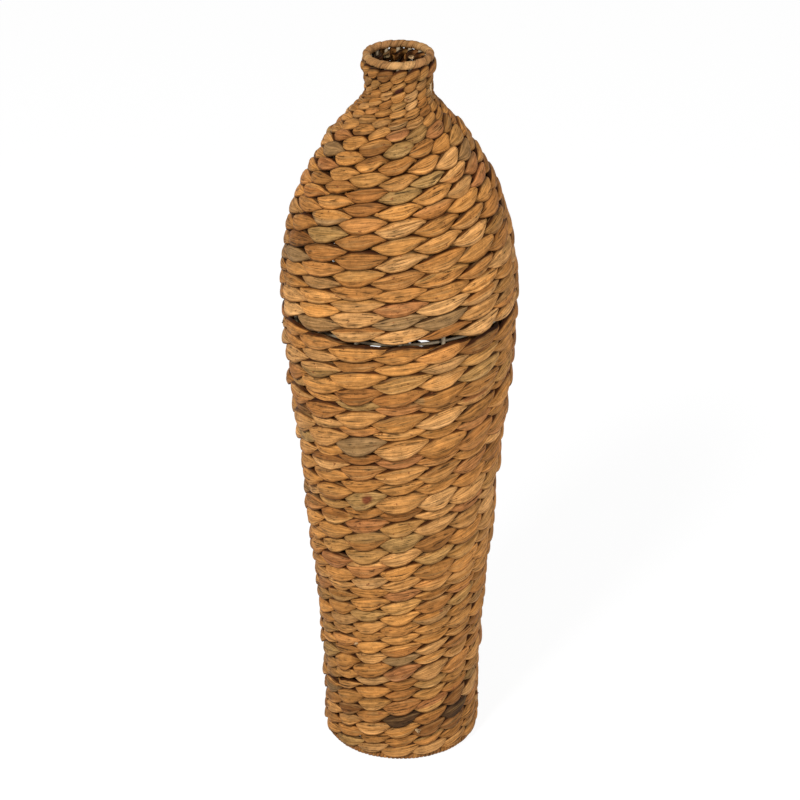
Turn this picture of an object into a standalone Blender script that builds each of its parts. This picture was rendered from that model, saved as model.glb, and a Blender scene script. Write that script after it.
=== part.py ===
"""Tall floor vase, twined from dried plant stem on a welded wire frame.

The frame is sixteen upright stakes, welded to a hoop inside them at the waist, to a hoop
at the foot and to two wires that cross above it.
Each row of the weave is a pair of stems that swap places between every two stakes,
so it shows one slanted lens of stem over each stake. A flat strip is wound round
the rim hoop, and a narrow binding covers the foot hoop, on which the vase stands.
A band at the waist is left open, where the stakes and the waist hoop show.

Metres, +Z up, origin at the centre of the foot on the floor, the front is -Y.
"""

import math

import bmesh
import bpy
import numpy as np
from mathutils import Matrix, Vector

# Outline of the frame: the vase's height and the radii of the circle through the stakes' centres
VASE_HEIGHT = 0.8001
RIM_RADIUS = 0.0325
NECK_RADIUS = 0.0282
BELLY_RADIUS = 0.1164
FOOT_RADIUS = 0.0788

# Where the waist hoop, the belly and the neck lie, as shares of the height
WAIST_SHARE = 0.6543
BELLY_SHARE = 0.6812
NECK_SHARE = 0.9624

# How the flank swells from foot to belly, and how the shoulder draws in from belly to neck:
# each point is a share of the height between the two and a share of the change in radius
FLANK_SHARES = (
    (0.055, -0.05), (0.16, -0.02), (0.30, 0.13), (0.43, 0.28), (0.60, 0.49), (0.80, 0.81), (0.95, 0.99),
)
SHOULDER_SHARES = ((0.25, 0.08), (0.43, 0.21), (0.67, 0.52), (0.85, 0.86), (0.925, 0.99))

# Wires
STAKES = 16
STAKE_DIAMETER = 0.0045
HOOP_DIAMETER = 0.0035
CROSS_WIRES = 2
WELD_SINK = 0.2  # how far the weld has sunk the waist hoop into a stake, as a share of both radii

# Weave: heights of the rows as the hand left them, in millimetres, from top to bottom;
# the weaver packs them until they fill the frame, so only their proportions count
UPPER_ROWS = (11.5, 11, 11.5, 11, 10, 11, 14, 17, 17, 15, 15, 16, 17, 18, 18.5, 17, 15, 14, 16, 16)
LOWER_ROWS = (
    14.5, 14, 18, 17.5, 11, 19, 12, 21, 14, 17.5, 16, 20.5, 13, 18, 20, 17.5, 18.5,
    16, 13, 15, 15, 14.5, 13, 14, 13, 19, 13.5, 13.5, 17, 15.5, 15, 12, 12,
)
STEM_FLATNESS = 0.42  # thickness of a stem as a share of its row's height
LENS_EDGE = 0.24  # rounded edge of a lens as a share of its row's height
LENS_SLANT = 0.16  # slant of a lens as a share of the distance between stakes
SEAT_SLOPE = math.radians(18.0)  # slope of the shallow vee in which a row grips a stake
WAIST_OPENING = 0.0040  # open band above the waist hoop
RIM_SPACE = 0.0015  # open slit between the rim wrap and the top row
UPPER_ROWS_PER_STRETCH = 1  # rows on one straight stretch of a stake
LOWER_ROWS_PER_STRETCH = 3

# Strips
WRAP_TURNS = 16
WRAP_THICKNESS = 0.0019
WRAP_GAP = 0.0006  # between one turn and the next
WRAP_LEAD = 0.75  # how far a turn lies ahead of its stake, as a share of the distance between stakes
BINDING_THICKNESS = 0.0019
FOOT_FLAT = 0.0005  # depth to which standing has flattened the binding
MAT_THICKNESS = 0.0060

# Clearance between pieces that touch on the real vase
CLEARANCE = 0.0003

# Facets
RING_SEGMENTS = 2 * STAKES
WRAP_STEPS = 8  # round one turn
WRAP_STRIPES = 3  # across the strip
WIRE_SIDES = 4

# Colours, as linear RGB
PAINT_COLOUR = (0.105, 0.082, 0.066)
TAN_COLOUR = (0.420, 0.225, 0.100)
BROWN_COLOUR = (0.225, 0.105, 0.050)
OLIVE_COLOUR = (0.235, 0.170, 0.095)
PINK_COLOUR = (0.330, 0.180, 0.115)
DARK_COLOUR = (0.075, 0.040, 0.025)

STAKE_RADIUS = STAKE_DIAMETER / 2
HOOP_RADIUS = HOOP_DIAMETER / 2
STAKE_ANGLE = 2 * math.pi / STAKES
SEGMENT_ANGLE = 2 * math.pi / RING_SEGMENTS
TO_FLATS = 1 / math.cos(SEGMENT_ANGLE / 2)  # from a ring's radius at its flats to its corners

# Foot: the hoop and the stakes' ends lie in the binding, and the binding stands on the floor
BINDING_BORE = STAKE_RADIUS + CLEARANCE
BINDING_RADIUS = BINDING_BORE + BINDING_THICKNESS
FOOT_HEIGHT = BINDING_RADIUS - FOOT_FLAT
BINDING_MOUTH = math.asin(BINDING_BORE / BINDING_RADIUS)
BINDING_TOP = FOOT_HEIGHT + BINDING_RADIUS * math.cos(BINDING_MOUTH)

# Rim: the strip is wound round the hoop
WRAP_CORE = (HOOP_RADIUS + CLEARANCE) / math.cos(math.pi / WRAP_STEPS)
WRAP_CENTRE = WRAP_CORE + WRAP_THICKNESS / 2
WRAP_RADIUS = WRAP_CORE + WRAP_THICKNESS
RIM_HEIGHT = VASE_HEIGHT - WRAP_RADIUS
WAIST_HEIGHT = VASE_HEIGHT * WAIST_SHARE
BELLY_HEIGHT = VASE_HEIGHT * BELLY_SHARE
NECK_HEIGHT = VASE_HEIGHT * NECK_SHARE

# A row's vee clears the stake by the clearance, measured square to its faces
SEAT_DEPTH = (STAKE_RADIUS + CLEARANCE) / math.cos(SEAT_SLOPE)


def clear_scene():
    """Remove whatever the file opened with."""
    for item in list(bpy.data.objects):
        bpy.data.objects.remove(item, do_unlink=True)


def make_collection(name):
    """Make a collection and link it to the scene."""
    collection = bpy.data.collections.new(name)
    bpy.context.scene.collection.children.link(collection)
    return collection


def make_material(name, colour, roughness):
    """Make one Principled material; nothing on this vase is bare metal."""
    material = bpy.data.materials.new(name)
    material.use_nodes = True
    shader = material.node_tree.nodes["Principled BSDF"]
    shader.inputs["Base Color"].default_value = (*colour, 1.0)
    shader.inputs["Roughness"].default_value = roughness
    shader.inputs["Metallic"].default_value = 0.0
    material.diffuse_color = (*colour, 1.0)
    return material


def place_in(item, collection, material=None):
    """Move an object into a collection and give it its material."""
    for owner in list(item.users_collection):
        owner.objects.unlink(item)
    collection.objects.link(item)
    if material is not None:
        item.data.materials.append(material)


def mark_as_cutter(item):
    """Show an object as a wire guide only."""
    item.hide_render = True
    item.display_type = "WIRE"


def outline_stations():
    """List the heights and radii that the outline passes through, foot to rim."""
    stations = [(FOOT_HEIGHT, FOOT_RADIUS)]
    for up, out in FLANK_SHARES:
        height = FOOT_HEIGHT + up * (BELLY_HEIGHT - FOOT_HEIGHT)
        stations.append((height, FOOT_RADIUS + out * (BELLY_RADIUS - FOOT_RADIUS)))
    stations.append((BELLY_HEIGHT, BELLY_RADIUS))
    for up, out in SHOULDER_SHARES:
        height = BELLY_HEIGHT + up * (NECK_HEIGHT - BELLY_HEIGHT)
        stations.append((height, BELLY_RADIUS + out * (NECK_RADIUS - BELLY_RADIUS)))
    stations.append((NECK_HEIGHT, NECK_RADIUS))
    stations.append((RIM_HEIGHT, RIM_RADIUS))
    return np.array(stations)


def smooth_outline(samples=1200):
    """Draw a smooth curve through the stations: arc lengths, radii and heights."""
    stations = outline_stations()
    known_heights, known_radii = stations.T
    slopes = np.gradient(known_radii, known_heights)
    heights = np.linspace(known_heights[0], known_heights[-1], samples)
    span = np.clip(np.searchsorted(known_heights, heights, side="right") - 1, 0, len(stations) - 2)
    step = known_heights[span + 1] - known_heights[span]
    share = (heights - known_heights[span]) / step
    radii = (
        (2 * share**3 - 3 * share**2 + 1) * known_radii[span]
        + (share**3 - 2 * share**2 + share) * step * slopes[span]
        + (3 * share**2 - 2 * share**3) * known_radii[span + 1]
        + (share**3 - share**2) * step * slopes[span + 1]
    )
    arcs = np.concatenate([[0.0], np.cumsum(np.hypot(np.diff(radii), np.diff(heights)))])
    return arcs, radii, heights


def pack_rows(start, end, heights):
    """Split an arc from start up to end among rows whose heights are listed top to bottom."""
    shares = np.cumsum([0.0, *reversed(heights)])
    return start + (end - start) * shares / shares[-1]


def stretch_ends(bounds, rows):
    """Pick the row edges at which a stake bends, one every few rows."""
    picked = list(bounds[:-1:rows])
    picked.append(bounds[-1])
    return picked


class Frame:
    """The stakes' common line and the edges of the rows along it."""

    def __init__(self):
        arcs, radii, heights = smooth_outline()
        foot_top = float(np.interp(BINDING_TOP + CLEARANCE, heights, arcs))
        waist = float(np.interp(WAIST_HEIGHT, heights, arcs))
        rim_underside = float(arcs[-1]) - WRAP_RADIUS
        top = rim_underside - RIM_SPACE
        self.lower = pack_rows(foot_top, waist - HOOP_RADIUS - CLEARANCE, LOWER_ROWS)
        self.upper = pack_rows(waist + HOOP_RADIUS + WAIST_OPENING, top, UPPER_ROWS)
        bends = [0.0]
        bends += stretch_ends(self.lower, LOWER_ROWS_PER_STRETCH)
        bends += stretch_ends(self.upper, UPPER_ROWS_PER_STRETCH)
        bends.append(rim_underside - CLEARANCE)
        self.bends = np.array(bends)
        self.radii = np.interp(self.bends, arcs, radii)
        self.heights = np.interp(self.bends, arcs, heights)

    def point(self, arc):
        """Radius and height of the stakes' line at an arc length."""
        radius = float(np.interp(arc, self.bends, self.radii))
        height = float(np.interp(arc, self.bends, self.heights))
        return np.array([radius, height])

    def direction(self, arc):
        """Unit direction up the stakes' line on the stretch that holds an arc length."""
        stretch = int(np.clip(np.searchsorted(self.bends, arc) - 1, 0, len(self.bends) - 2))
        step = np.array([
            self.radii[stretch + 1] - self.radii[stretch],
            self.heights[stretch + 1] - self.heights[stretch],
        ])
        return step / np.linalg.norm(step)

    def edge_normal(self, arc):
        """Outward offset direction at a row's edge, mitred where the stake bends."""
        tiny = 1e-6
        below = outward(self.direction(arc - tiny))
        above = outward(self.direction(arc + tiny))
        return (below + above) / (1 + float(below @ above))


def outward(direction):
    """Turn a direction up the outline into the outward one square to it."""
    return np.array([direction[1], -direction[0]])


def seat_offset(radius, on_stake):
    """Offset of a row's inner face from the stakes' circle, at a stake or midway."""
    if on_stake:
        return SEAT_DEPTH
    half = STAKE_ANGLE / 2
    face = (radius + SEAT_DEPTH) / (math.cos(half) * (1 + math.tan(half) * math.tan(SEAT_SLOPE)))
    return face - radius


def ring_mesh(name, segments, sides):
    """Start a ring from a torus: its columns run round from +X, its corners from the outside up."""
    bpy.ops.mesh.primitive_torus_add(
        major_segments=segments, minor_segments=sides, major_radius=1.0, minor_radius=0.25
    )
    ring = bpy.context.object
    ring.name = name
    ring.data.name = name
    return ring


def finish_round(item, angle=50.0):
    """Shade a round piece smooth, with its sharper corners kept."""
    item.data.shade_smooth()
    item.data.set_sharp_from_angle(angle=math.radians(angle))


def weave_row(name, frame, low, high, collection, material):
    """Model one twined row between two edges: a lens over each stake, gripping it in a vee."""
    along = frame.direction((low + high) / 2)
    normal = outward(along)
    height = high - low
    thickness = STEM_FLATNESS * height
    edge = LENS_EDGE * height
    ring = ring_mesh(name, RING_SEGMENTS, 4)
    for index, vertex in enumerate(ring.data.vertices):
        column, corner = divmod(index, 4)
        angle = column * SEGMENT_ANGLE
        upper = corner in (1, 2)
        arc = high if upper else low
        inward_step = -along if upper else along
        base = frame.point(arc)
        inner = seat_offset(base[0], column % 2 == 0)
        if corner in (2, 3):
            place = base + inner * frame.edge_normal(arc) + inward_step * CLEARANCE / 2
        else:
            place = base + (inner + thickness) * normal + inward_step * edge
            angle += LENS_SLANT * STAKE_ANGLE * (1 if upper else -1)
        vertex.co = (place[0] * math.cos(angle), place[0] * math.sin(angle), place[1])
    finish_round(ring, 80.0)
    place_in(ring, collection, material)
    return ring


def hoop(name, radius, height, wire_radius):
    """Model a wire hoop whose flats lie on the stakes' circle."""
    bpy.ops.mesh.primitive_torus_add(
        major_segments=RING_SEGMENTS,
        minor_segments=WIRE_SIDES,
        major_radius=radius * TO_FLATS,
        minor_radius=wire_radius,
    )
    item = bpy.context.object
    item.name = name
    item.data.transform(Matrix.Rotation(SEGMENT_ANGLE / 2, 4, "Z"))
    item.location.z = height
    finish_round(item, 100.0)
    return item


def wire_mesh(name, points, radius):
    """Bend a wire along points and make it a closed mesh."""
    curve = bpy.data.curves.new(name, "CURVE")
    curve.dimensions = "3D"
    curve.bevel_depth = radius
    curve.bevel_resolution = 0
    curve.use_fill_caps = True
    spline = curve.splines.new("POLY")
    spline.points.add(len(points) - 1)
    for spot, point in zip(spline.points, points):
        spot.co = (*point, 1.0)
    guide = bpy.data.objects.new(name, curve)
    bpy.context.scene.collection.objects.link(guide)
    evaluated = guide.evaluated_get(bpy.context.evaluated_depsgraph_get())
    mesh = bpy.data.meshes.new_from_object(evaluated)
    bpy.data.objects.remove(guide, do_unlink=True)
    shape = bmesh.new()
    shape.from_mesh(mesh)
    bmesh.ops.remove_doubles(shape, verts=shape.verts, dist=0.00001)
    shape.to_mesh(mesh)
    shape.free()
    return mesh


def wire_frame(frame, collection, cutters, material):
    """Weld the stakes, the waist hoop, the foot hoop and the crossing wires into one frame."""
    stake_points = [(r, 0.0, z) for r, z in zip(frame.radii, frame.heights)]
    stake = wire_mesh("stake", stake_points, STAKE_RADIUS)
    for index in range(STAKES):
        item = bpy.data.objects.new(f"stake_{index + 1:02d}", stake)
        item.rotation_euler.z = index * STAKE_ANGLE
        cutters.objects.link(item)
        mark_as_cutter(item)
    cross_height = BINDING_TOP + CLEARANCE + HOOP_RADIUS
    cross_arc = float(np.interp(cross_height, frame.heights, frame.bends))
    reach = float(frame.point(cross_arc)[0])
    cross = wire_mesh("cross_wire", [(-reach, 0.0, 0.0), (reach, 0.0, 0.0)], HOOP_RADIUS)
    for index in range(CROSS_WIRES):
        item = bpy.data.objects.new(f"cross_wire_{index + 1}", cross)
        item.location.z = cross_height
        item.rotation_euler.z = index * math.pi / CROSS_WIRES
        cutters.objects.link(item)
        mark_as_cutter(item)
    foot_hoop = hoop("foot_hoop", FOOT_RADIUS, FOOT_HEIGHT, HOOP_RADIUS)
    place_in(foot_hoop, cutters)
    mark_as_cutter(foot_hoop)
    waist_arc = float(np.interp(WAIST_HEIGHT, frame.heights, frame.bends))
    inside = float(frame.point(waist_arc)[0]) - (STAKE_RADIUS + HOOP_RADIUS) * (1 - WELD_SINK)
    body = hoop("wire_frame", inside, WAIST_HEIGHT, HOOP_RADIUS)
    weld = body.modifiers.new("weld", "BOOLEAN")
    weld.operation = "UNION"
    weld.operand_type = "COLLECTION"
    weld.collection = cutters
    weld.solver = "EXACT"
    place_in(body, collection, material)
    return cross_height + HOOP_RADIUS


def wrap_place(step, across, out):
    """Place a point of the rim's strip: steps along it, share of its width, height over its middle.

    The strip is laid out flat on the tube round the hoop, then rolled up with it.
    """
    girth = 2 * math.pi * WRAP_CENTRE
    pitch = 2 * math.pi * RIM_RADIUS / WRAP_TURNS
    length = math.hypot(girth, pitch)
    shift = across * (pitch * girth / length - WRAP_GAP)
    turn = 2 * math.pi * step / WRAP_STEPS - math.pi
    angle = turn / WRAP_TURNS + WRAP_LEAD * STAKE_ANGLE - shift * girth / length / RIM_RADIUS
    turn += shift * pitch / length / WRAP_CENTRE
    circle = RIM_RADIUS + (WRAP_CENTRE + out) * math.cos(turn)
    height = RIM_HEIGHT + (WRAP_CENTRE + out) * math.sin(turn)
    return Vector((circle * math.cos(angle), circle * math.sin(angle), height))


def rim_wrap(collection, material):
    """Wind one flat strip round the rim hoop, its two ends apart on the inside."""
    steps = WRAP_TURNS * WRAP_STEPS - 2
    strip = bmesh.new()
    bmesh.ops.create_cube(strip, size=1.0)
    for axis, cuts in ((2, steps - 1), (0, WRAP_STRIPES - 1)):
        edges = [edge for edge in strip.edges if abs(edge.verts[0].co[axis] - edge.verts[1].co[axis]) > 0.9]
        bmesh.ops.subdivide_edges(strip, edges=edges, cuts=cuts, use_grid_fill=True)
    for vertex in strip.verts:
        across, out, along = vertex.co
        vertex.co = wrap_place((along + 0.5) * steps, across, out * WRAP_THICKNESS)
    mesh = bpy.data.meshes.new("rim_wrap")
    strip.to_mesh(mesh)
    strip.free()
    item = bpy.data.objects.new("rim_wrap", mesh)
    finish_round(item, 60.0)
    place_in(item, collection, material)


def least_wrap_gap(samples=12):
    """Measure the least gap between neighbouring turns of the strip, on points of its edges."""
    least = math.inf
    steps = (WRAP_TURNS - 1) * WRAP_STEPS - 2
    for step in range(steps):
        edge = wrap_place(step, -0.5, 0.0)
        for sample in range(-4 * samples, 4 * samples + 1):
            next_edge = wrap_place(step + WRAP_STEPS + sample / samples, 0.5, 0.0)
            least = min(least, (next_edge - edge).length)
    return least


def foot_binding(collection, material):
    """Turn the binding round the foot hoop: open above for the stakes, flat below."""
    points = []
    outer_steps = 7
    for step in range(outer_steps + 1):
        share = step / outer_steps
        turn = math.pi / 2 - BINDING_MOUTH - share * (2 * math.pi - 2 * BINDING_MOUTH)
        points.append((BINDING_RADIUS * math.cos(turn), BINDING_RADIUS * math.sin(turn)))
    inner_steps = 3
    for step in range(inner_steps + 1):
        turn = math.pi + step * math.pi / inner_steps
        bore = BINDING_BORE / math.cos(math.pi / inner_steps / 2)
        points.append((bore * math.cos(turn), bore * math.sin(turn)))
    mesh = bpy.data.meshes.new("foot_binding")
    profile = bmesh.new()
    corners = []
    for across, up in points:
        height = max(FOOT_HEIGHT + up, 0.0)
        corners.append(profile.verts.new((FOOT_RADIUS * TO_FLATS + across, 0.0, height)))
    for index, corner in enumerate(corners):
        profile.edges.new((corner, corners[(index + 1) % len(corners)]))
    profile.to_mesh(mesh)
    profile.free()
    item = bpy.data.objects.new("foot_binding", mesh)
    item.rotation_euler.z = SEGMENT_ANGLE / 2
    turning = item.modifiers.new("turned", "SCREW")
    turning.steps = RING_SEGMENTS
    turning.render_steps = RING_SEGMENTS
    turning.use_merge_vertices = True
    turning.merge_threshold = 0.00001
    turning.use_smooth_shade = True
    place_in(item, collection, material)


def base_mat(frame, underside, collection, material):
    """Lay the flat bottom on the crossing wires, inside the lowest rows."""
    low_arc = float(np.interp(underside, frame.heights, frame.bends))
    radius = float(frame.point(low_arc)[0])
    reach = radius + min(seat_offset(radius, False), -STAKE_RADIUS) - CLEARANCE
    bpy.ops.mesh.primitive_cylinder_add(
        vertices=RING_SEGMENTS, radius=reach, depth=MAT_THICKNESS
    )
    item = bpy.context.object
    item.name = "base_mat"
    item.location.z = underside + CLEARANCE + MAT_THICKNESS / 2
    place_in(item, collection, material)


def main():
    """Build the vase and report its sizes."""
    clear_scene()
    vase = make_collection("woven_floor_vase")
    cutters = make_collection("frame_wires")
    paint = make_material("painted_wire", PAINT_COLOUR, 0.55)
    stems = [
        make_material("stem_tan", TAN_COLOUR, 0.62),
        make_material("stem_brown", BROWN_COLOUR, 0.60),
        make_material("stem_tan_pink", PINK_COLOUR, 0.62),
        make_material("stem_olive", OLIVE_COLOUR, 0.66),
    ]
    dark = make_material("stem_dark", DARK_COLOUR, 0.60)
    frame = Frame()
    wires_top = wire_frame(frame, vase, cutters, paint)
    rim_hoop = hoop("rim_hoop", RIM_RADIUS / TO_FLATS, RIM_HEIGHT, HOOP_RADIUS)
    place_in(rim_hoop, vase, paint)
    rim_wrap(vase, stems[0])
    foot_binding(vase, stems[1])
    base_mat(frame, wires_top, vase, stems[3])
    for label, bounds in (("upper_row", frame.upper), ("lower_row", frame.lower)):
        count = len(bounds) - 1
        for index in range(count):
            place = count - 1 - index
            material = dark if index % 11 == 8 else stems[index * 3 % len(stems)]
            name = f"{label}_{index + 1:02d}"
            weave_row(name, frame, bounds[place], bounds[place + 1], vase, material)
    print(f"overall height {1000 * (RIM_HEIGHT + WRAP_RADIUS):.1f} mm")
    print(f"least gap between turns of the rim wrap {1000 * least_wrap_gap():.2f} mm")


main()
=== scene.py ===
# %% [markdown]
# A tall floor vase, twined by hand from dried water hyacinth stem on a welded wire frame. The
# CAD frame holds the outline: every twined row is a plain ring there. This script winds the
# real pair of stems through each ring's place, wraps the rim and the foot, rounds the wires and
# gives every stem its colour.

# %% Load the frame
import math

import bmesh
import bpy
import numpy as np
from mathutils import Matrix, Vector


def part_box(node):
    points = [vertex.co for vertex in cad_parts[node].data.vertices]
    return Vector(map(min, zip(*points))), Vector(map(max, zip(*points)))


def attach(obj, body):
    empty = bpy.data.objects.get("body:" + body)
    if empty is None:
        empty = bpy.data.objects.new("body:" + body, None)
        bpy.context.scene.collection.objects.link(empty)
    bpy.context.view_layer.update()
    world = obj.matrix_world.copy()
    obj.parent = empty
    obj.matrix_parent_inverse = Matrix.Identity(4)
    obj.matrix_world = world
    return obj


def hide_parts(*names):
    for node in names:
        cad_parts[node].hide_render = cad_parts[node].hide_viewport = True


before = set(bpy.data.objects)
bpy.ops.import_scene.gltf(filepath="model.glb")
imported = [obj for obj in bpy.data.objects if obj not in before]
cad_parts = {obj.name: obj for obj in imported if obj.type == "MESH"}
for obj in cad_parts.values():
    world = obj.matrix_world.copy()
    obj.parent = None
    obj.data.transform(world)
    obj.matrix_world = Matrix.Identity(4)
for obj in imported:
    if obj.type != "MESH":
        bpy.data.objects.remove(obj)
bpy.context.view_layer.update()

# %% [markdown]
# Colours are written as sRGB hex values, the way a colour picker shows them, and one function
# turns them into the linear values that shaders work in. A second small helper adds a shader node
# with its settings and links in one call, so that a material reads as a short list.

# %% Helpers for colours and nodes
def linear(hex_colour):
    """Turn an sRGB hex colour into linear RGB."""
    channels = [int(hex_colour[place:place + 2], 16) / 255 for place in (1, 3, 5)]
    return [c / 12.92 if c <= 0.04045 else ((c + 0.055) / 1.055) ** 2.4 for c in channels]


def add_node(tree, kind, settings=None, inputs=None):
    """Add a node, set its properties, and set or link its inputs."""
    node = tree.nodes.new(kind)
    for name, value in (settings or {}).items():
        setattr(node, name, value)
    for name, value in (inputs or {}).items():
        if isinstance(value, bpy.types.NodeSocket):
            tree.links.new(value, node.inputs[name])
        else:
            node.inputs[name].default_value = value
    return node


def new_material(name):
    """Start a material and return it with its tree and its output node."""
    material = bpy.data.materials.new(name)
    material.use_nodes = True
    tree = material.node_tree
    tree.nodes.clear()
    return material, tree, tree.nodes.new("ShaderNodeOutputMaterial")


print("mid grey, #808080, is", round(linear("#808080")[0], 3), "in linear light")

# %% [markdown]
# The camera comes first, because everything is judged through it. The photograph looks down on
# the vase with a long lens: the rim's ellipse is flatter than the foot's, and that difference
# gives the distance. The focal length follows from the frame's width of 800 pixels.

# %% Camera
FRAME_PIXELS = 800
FOCAL_PIXELS = 3200
CAMERA_DISTANCE = 3.0568
CAMERA_HEIGHT = 1.9464
CAMERA_PITCH = math.radians(26.782)
CAMERA_ROLL = math.radians(-0.27)

lens = bpy.data.cameras.new("photo_camera")
lens.sensor_width = 36.0
lens.lens = lens.sensor_width * FOCAL_PIXELS / FRAME_PIXELS
lens.clip_end = 50.0
camera = bpy.data.objects.new("photo_camera", lens)
camera.location = (0.0, -CAMERA_DISTANCE, CAMERA_HEIGHT)
pitched = Matrix.Rotation(math.pi / 2 - CAMERA_PITCH, 3, "X") @ Matrix.Rotation(CAMERA_ROLL, 3, "Z")
camera.rotation_euler = pitched.to_euler()
bpy.context.scene.collection.objects.link(camera)
bpy.context.scene.camera = camera
print("focal length", lens.lens, "mm")

# %% [markdown]
# The studio is a pale floor that melts into a white backdrop. The camera sees white straight from
# the floor's material, darkened only where the vase shades it, while the light on the vase itself
# stays at a plain level: one large soft key from the upper left, a weaker fill and an even sky.
# Brighter lamps would whiten the floor too, but they would also bleach the stems.

# %% Floor and light
FLOOR_REACH = 12.0  # half the floor's width, in metres
FLOOR_DROP = 0.0005  # the floor lies just under the foot, so that no two faces share a place
PAPER = 0.93  # how much light the paper gives back
GLOW = 1.06  # how bright the camera sees it; 1 is white
VEIL = 0.86  # how much of that glow hides the paper's own shading
SKY_STRENGTH = 0.37
KEY_POWER = 104.0  # watts
FILL_POWER = 36.0
LAMP_AIM = Vector((0.0, 0.0, 0.42))  # the middle of the vase


def seen_rays(tree):
    """Pick out the rays that see the backdrop, straight, in a gloss or through glass."""
    path = add_node(tree, "ShaderNodeLightPath")
    seen = path.outputs["Is Camera Ray"]
    for kind in ("Is Glossy Ray", "Is Transmission Ray"):
        seen = add_node(tree, "ShaderNodeMath", {"operation": "MAXIMUM"},
                        {0: seen, 1: path.outputs[kind]}).outputs[0]
    return seen


scene = bpy.context.scene
scene.view_settings.view_transform = "Standard"
world = bpy.data.worlds.new("studio_sky")
scene.world = world
world.use_nodes = True
sky = world.node_tree
sky.nodes.clear()
backdrop = add_node(sky, "ShaderNodeBackground", None, {"Color": (1, 1, 1, 1), "Strength": 1.0})
light = add_node(sky, "ShaderNodeBackground", None, {"Color": (1, 1, 1, 1), "Strength": SKY_STRENGTH})
pick = add_node(sky, "ShaderNodeMixShader", None,
                {0: seen_rays(sky), 1: light.outputs[0], 2: backdrop.outputs[0]})
add_node(sky, "ShaderNodeOutputWorld", None, {"Surface": pick.outputs[0]})


def area_lamp(name, place, size, power):
    """Add a square soft lamp that faces the middle of the vase."""
    lamp = bpy.data.lights.new(name, "AREA")
    lamp.size = size
    lamp.energy = power
    item = bpy.data.objects.new(name, lamp)
    item.location = place
    item.rotation_euler = (LAMP_AIM - Vector(place)).to_track_quat("-Z", "Y").to_euler()
    scene.collection.objects.link(item)


area_lamp("key_lamp", (-1.1, -2.0, 2.6), 0.75, KEY_POWER)
area_lamp("fill_lamp", (2.2, -1.6, 1.3), 1.6, FILL_POWER)


def white_floor():
    """Make the floor's matt paper, which the camera sees as white with the vase's soft shadow."""
    material, tree, output = new_material("studio_paper")
    paper = add_node(tree, "ShaderNodeBsdfDiffuse", None, {"Color": (PAPER, PAPER, PAPER, 1)})
    glow = add_node(tree, "ShaderNodeEmission", None, {"Color": (1, 1, 1, 1), "Strength": GLOW})
    veil = add_node(tree, "ShaderNodeMath", {"operation": "MULTIPLY"}, {0: seen_rays(tree), 1: VEIL})
    mix = add_node(tree, "ShaderNodeMixShader", None,
                   {0: veil.outputs[0], 1: paper.outputs[0], 2: glow.outputs[0]})
    tree.links.new(mix.outputs[0], output.inputs["Surface"])
    return material


sheet = bmesh.new()
bmesh.ops.create_grid(sheet, x_segments=1, y_segments=1, size=FLOOR_REACH)
floor_mesh = bpy.data.meshes.new("studio_floor")
sheet.to_mesh(floor_mesh)
sheet.free()
floor_mesh.materials.append(white_floor())
floor = bpy.data.objects.new("studio_floor", floor_mesh)
floor.location.z = -FLOOR_DROP
scene.collection.objects.link(floor)
print("two lamps of", KEY_POWER, "and", FILL_POWER, "W over a floor", 2 * FLOOR_REACH, "m wide")

# %% [markdown]
# A twined row sits where its CAD ring sits. The ring's inner face grips each stake, so the two
# points of it over the front stake give the row's height, its lean and the stake's own place.
# Reading them from the frame keeps this script free of a second copy of the outline.

# %% Read each row's seat from the frame
STAKES = 16
STAKE_ANGLE = 2 * math.pi / STAKES
STAKE_RADIUS = 0.00225
CLEARANCE = 0.0003
SEAT_SLOPE = math.radians(18)  # a row grips each stake in a shallow vee
SEAT_DEPTH = (STAKE_RADIUS + CLEARANCE) / math.cos(SEAT_SLOPE)
FRONT = -math.pi / 2  # the front stake's angle round the vase


def node_points(name):
    """Read a node's vertices as an array."""
    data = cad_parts[name].data
    points = np.empty(3 * len(data.vertices), np.float32)
    data.vertices.foreach_get("co", points)
    return points.reshape(-1, 3).astype(float)


def read_seat(name):
    """Measure a row over the front stake: the stake's line behind it, its lean and its height."""
    points = node_points(name)
    angles = np.arctan2(points[:, 1], points[:, 0])
    near = points[np.abs(angles - FRONT) < math.radians(0.5)]
    seats = np.stack([-near[:, 1], near[:, 2]], axis=1)
    low = seats[np.argmin(seats[:, 1])]
    high = seats[np.argmax(seats[:, 1])]
    along = (high - low) / np.linalg.norm(high - low)
    normal = np.array([along[1], -along[0]])
    low = low - SEAT_DEPTH * normal
    high = high - SEAT_DEPTH * normal
    return {"name": name, "low": low, "high": high, "middle": (low + high) / 2, "along": along,
            "normal": normal, "height": float(np.linalg.norm(high - low)) + CLEARANCE}


UPPER_ROWS = sorted(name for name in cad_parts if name.startswith("upper_row_"))
LOWER_ROWS = sorted(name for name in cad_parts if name.startswith("lower_row_"))
seats = {name: read_seat(name) for name in UPPER_ROWS + LOWER_ROWS}
print(len(UPPER_ROWS), "upper rows and", len(LOWER_ROWS), "lower rows")

# %% [markdown]
# Water hyacinth stem is a spongy stalk that dries flat, with fine ribs along its length, and it
# keeps the colour of its own plant: orange tan, straw, brown, pinkish or olive. Each stem's colour
# is painted on its mesh as an attribute. The material adds what runs along the fibre, from the
# piece's own UV map in metres: fine ribs, wider streaks, dark creases and specks. An image texture
# would show its repeats over a hundred stems, while noise stretched along the fibre never does.
# The dry rind is matt, with hardly a sheen: at the usual specular level the white surroundings
# would lay a milky veil on it.

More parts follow.
